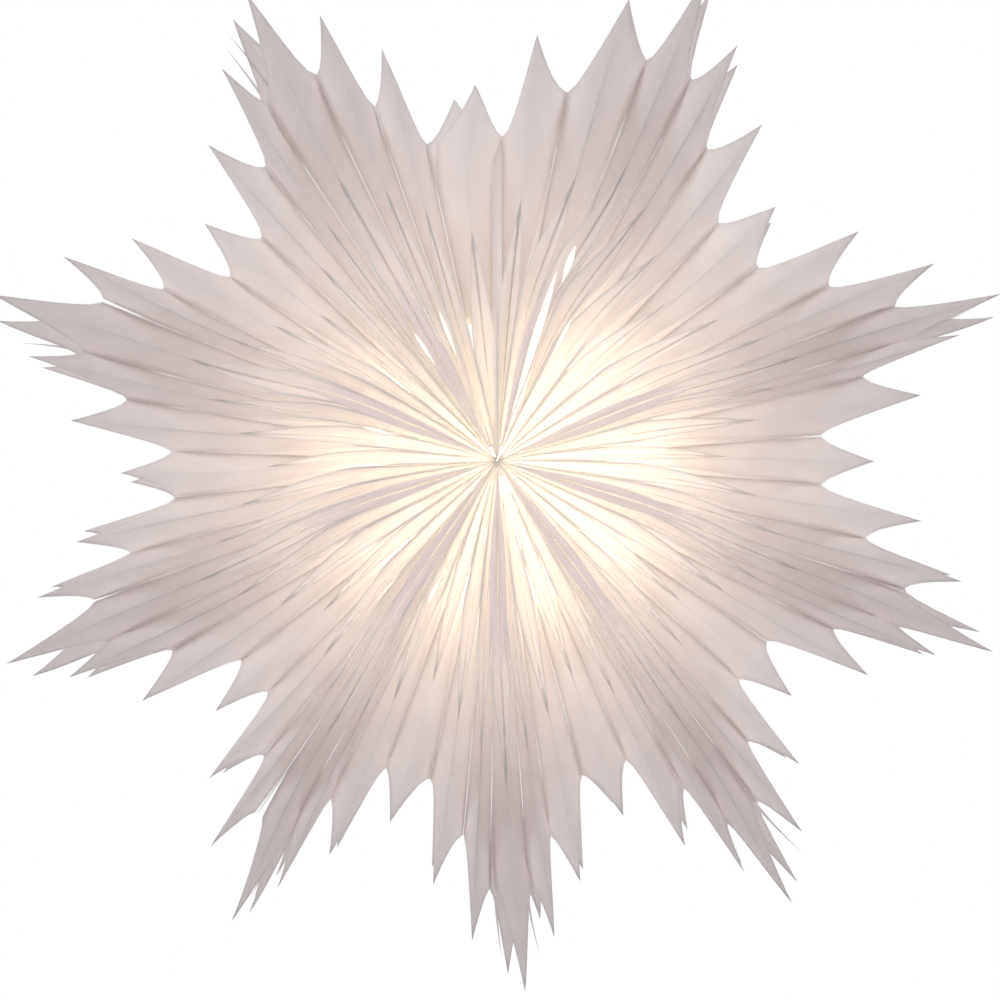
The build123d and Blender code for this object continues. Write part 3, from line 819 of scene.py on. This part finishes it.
materials["opal_globe"] = opal_globe()
resin = materials["chip_resin"].node_tree.nodes["Principled BSDF"]
resin.inputs["Emission Color"].default_value = (1.0, 0.7, 0.3, 1)
resin.inputs["Emission Strength"].default_value = 2
print("globe's strength:", GLOBE_STRENGTH)

# %% [markdown]
# ## Dressing the hard pieces
# The record names a finish for every node of the frame. The new paper takes
# the place of the bags' solids, so only the hard pieces get their finish here.
# Their meshes stay as they are: a loop over the record only changes materials.

# %% Dress the nodes
dressed = 0
for subpart in frame["record"]["subparts"]:
    material = materials.get(subpart["material_slot"])
    if material:
        piece = frame["nodes"][subpart["node"]]
        piece.data.materials.clear()
        piece.data.materials.append(material)
        dressed += 1
print("nodes with a finish:", dressed)

# %% [markdown]
# ## The floor
# A pale floor lies well below the lamp, out of sight from the front. Nothing
# rests on it, so a plain grid is enough. A little dust in its paint keeps it
# from being one flat colour.

# %% The floor
FLOOR = -900 * MM
FLOOR_HALF = 2.2

bm = bmesh.new()
bmesh.ops.create_grid(bm, x_segments=8, y_segments=8, size=FLOOR_HALF)
bmesh.ops.translate(bm, verts=bm.verts, vec=(0, 0, FLOOR))
floor = to_object(bm, "floor")
material, nodes, links, shader = new_material("floor_paint")
place = nodes.new("ShaderNodeTexCoord")
dust = noise(nodes, 5, 4)
links.new(place.outputs["Object"], dust.inputs["Vector"])
paint = ramp(nodes, (0.3, (0.88, 0.88, 0.88)), (0.7, (0.92, 0.92, 0.92)))
links.new(dust.outputs["Fac"], paint.inputs["Fac"])
links.new(paint.outputs["Color"], shader.inputs["Base Color"])
shader.inputs["Roughness"].default_value = 0.7
floor.data.materials.append(material)
print("floor at", FLOOR)

# %% [markdown]
# ## The light
# The light is plain and soft. The background is white for the camera, in
# mirrored and clear surfaces and through a sheet of paper. Where its light
# falls straight on a surface it is dimmer. One wide soft lamp stands above the
# viewer's left shoulder.

# %% The light
WORLD_STRENGTH = 0.44
SOFT_LAMP_WATTS = 18
SOFT_LAMP_SIZE = 2.5

world = bpy.data.worlds.new("studio")
bpy.context.scene.world = world
world.use_nodes = True
nodes, links = world.node_tree.nodes, world.node_tree.links
light_path = nodes.new("ShaderNodeLightPath")
soft = nodes["Background"]
soft.inputs["Color"].default_value = (0.96, 0.95, 1.0, 1)
soft.inputs["Strength"].default_value = WORLD_STRENGTH
seen = nodes.new("ShaderNodeBackground")
seen.inputs["Color"].default_value = (1, 1, 1, 1)
mix = nodes.new("ShaderNodeMixShader")
shown = light_path.outputs["Is Camera Ray"]
for ray in ("Is Glossy Ray", "Is Transmission Ray"):
    either = nodes.new("ShaderNodeMath")
    either.operation = "MAXIMUM"
    links.new(shown, either.inputs[0])
    links.new(light_path.outputs[ray], either.inputs[1])
    shown = either.outputs["Value"]
links.new(shown, mix.inputs["Fac"])
links.new(soft.outputs["Background"], mix.inputs[1])
links.new(seen.outputs["Background"], mix.inputs[2])
links.new(mix.outputs["Shader"], nodes["World Output"].inputs["Surface"])

lamp = bpy.data.lights.new("soft lamp", "AREA")
lamp.size = SOFT_LAMP_SIZE
lamp.energy = SOFT_LAMP_WATTS
stand = bpy.data.objects.new("soft lamp", lamp)
stand.location = (-1.8, -2.6, 2.2)
stand.rotation_euler = (CENTRE - stand.location).to_track_quat("-Z", "Y").to_euler()
bpy.context.collection.objects.link(stand)
print("soft lamp at", [round(value, 2) for value in stand.location])

# %% [markdown]
# ## The camera
# The camera looks straight at the star from the front. A long lens from far
# away keeps the arms at their true lengths, where a near one would stretch the
# front of the fan.

# %% The camera
LENS = 201.6
STANDPOINT = (0.002, -4.2, -0.124)

camera = bpy.data.cameras.new("camera")
camera.lens = LENS
camera.clip_end = 30
eye = bpy.data.objects.new("camera", camera)
eye.location = STANDPOINT
eye.rotation_euler = (pi / 2, 0, 0)
bpy.context.collection.objects.link(eye)
bpy.context.scene.camera = eye
bpy.context.scene.view_settings.view_transform = "Standard"
print("camera's distance:", round((eye.location - CENTRE).length, 2))
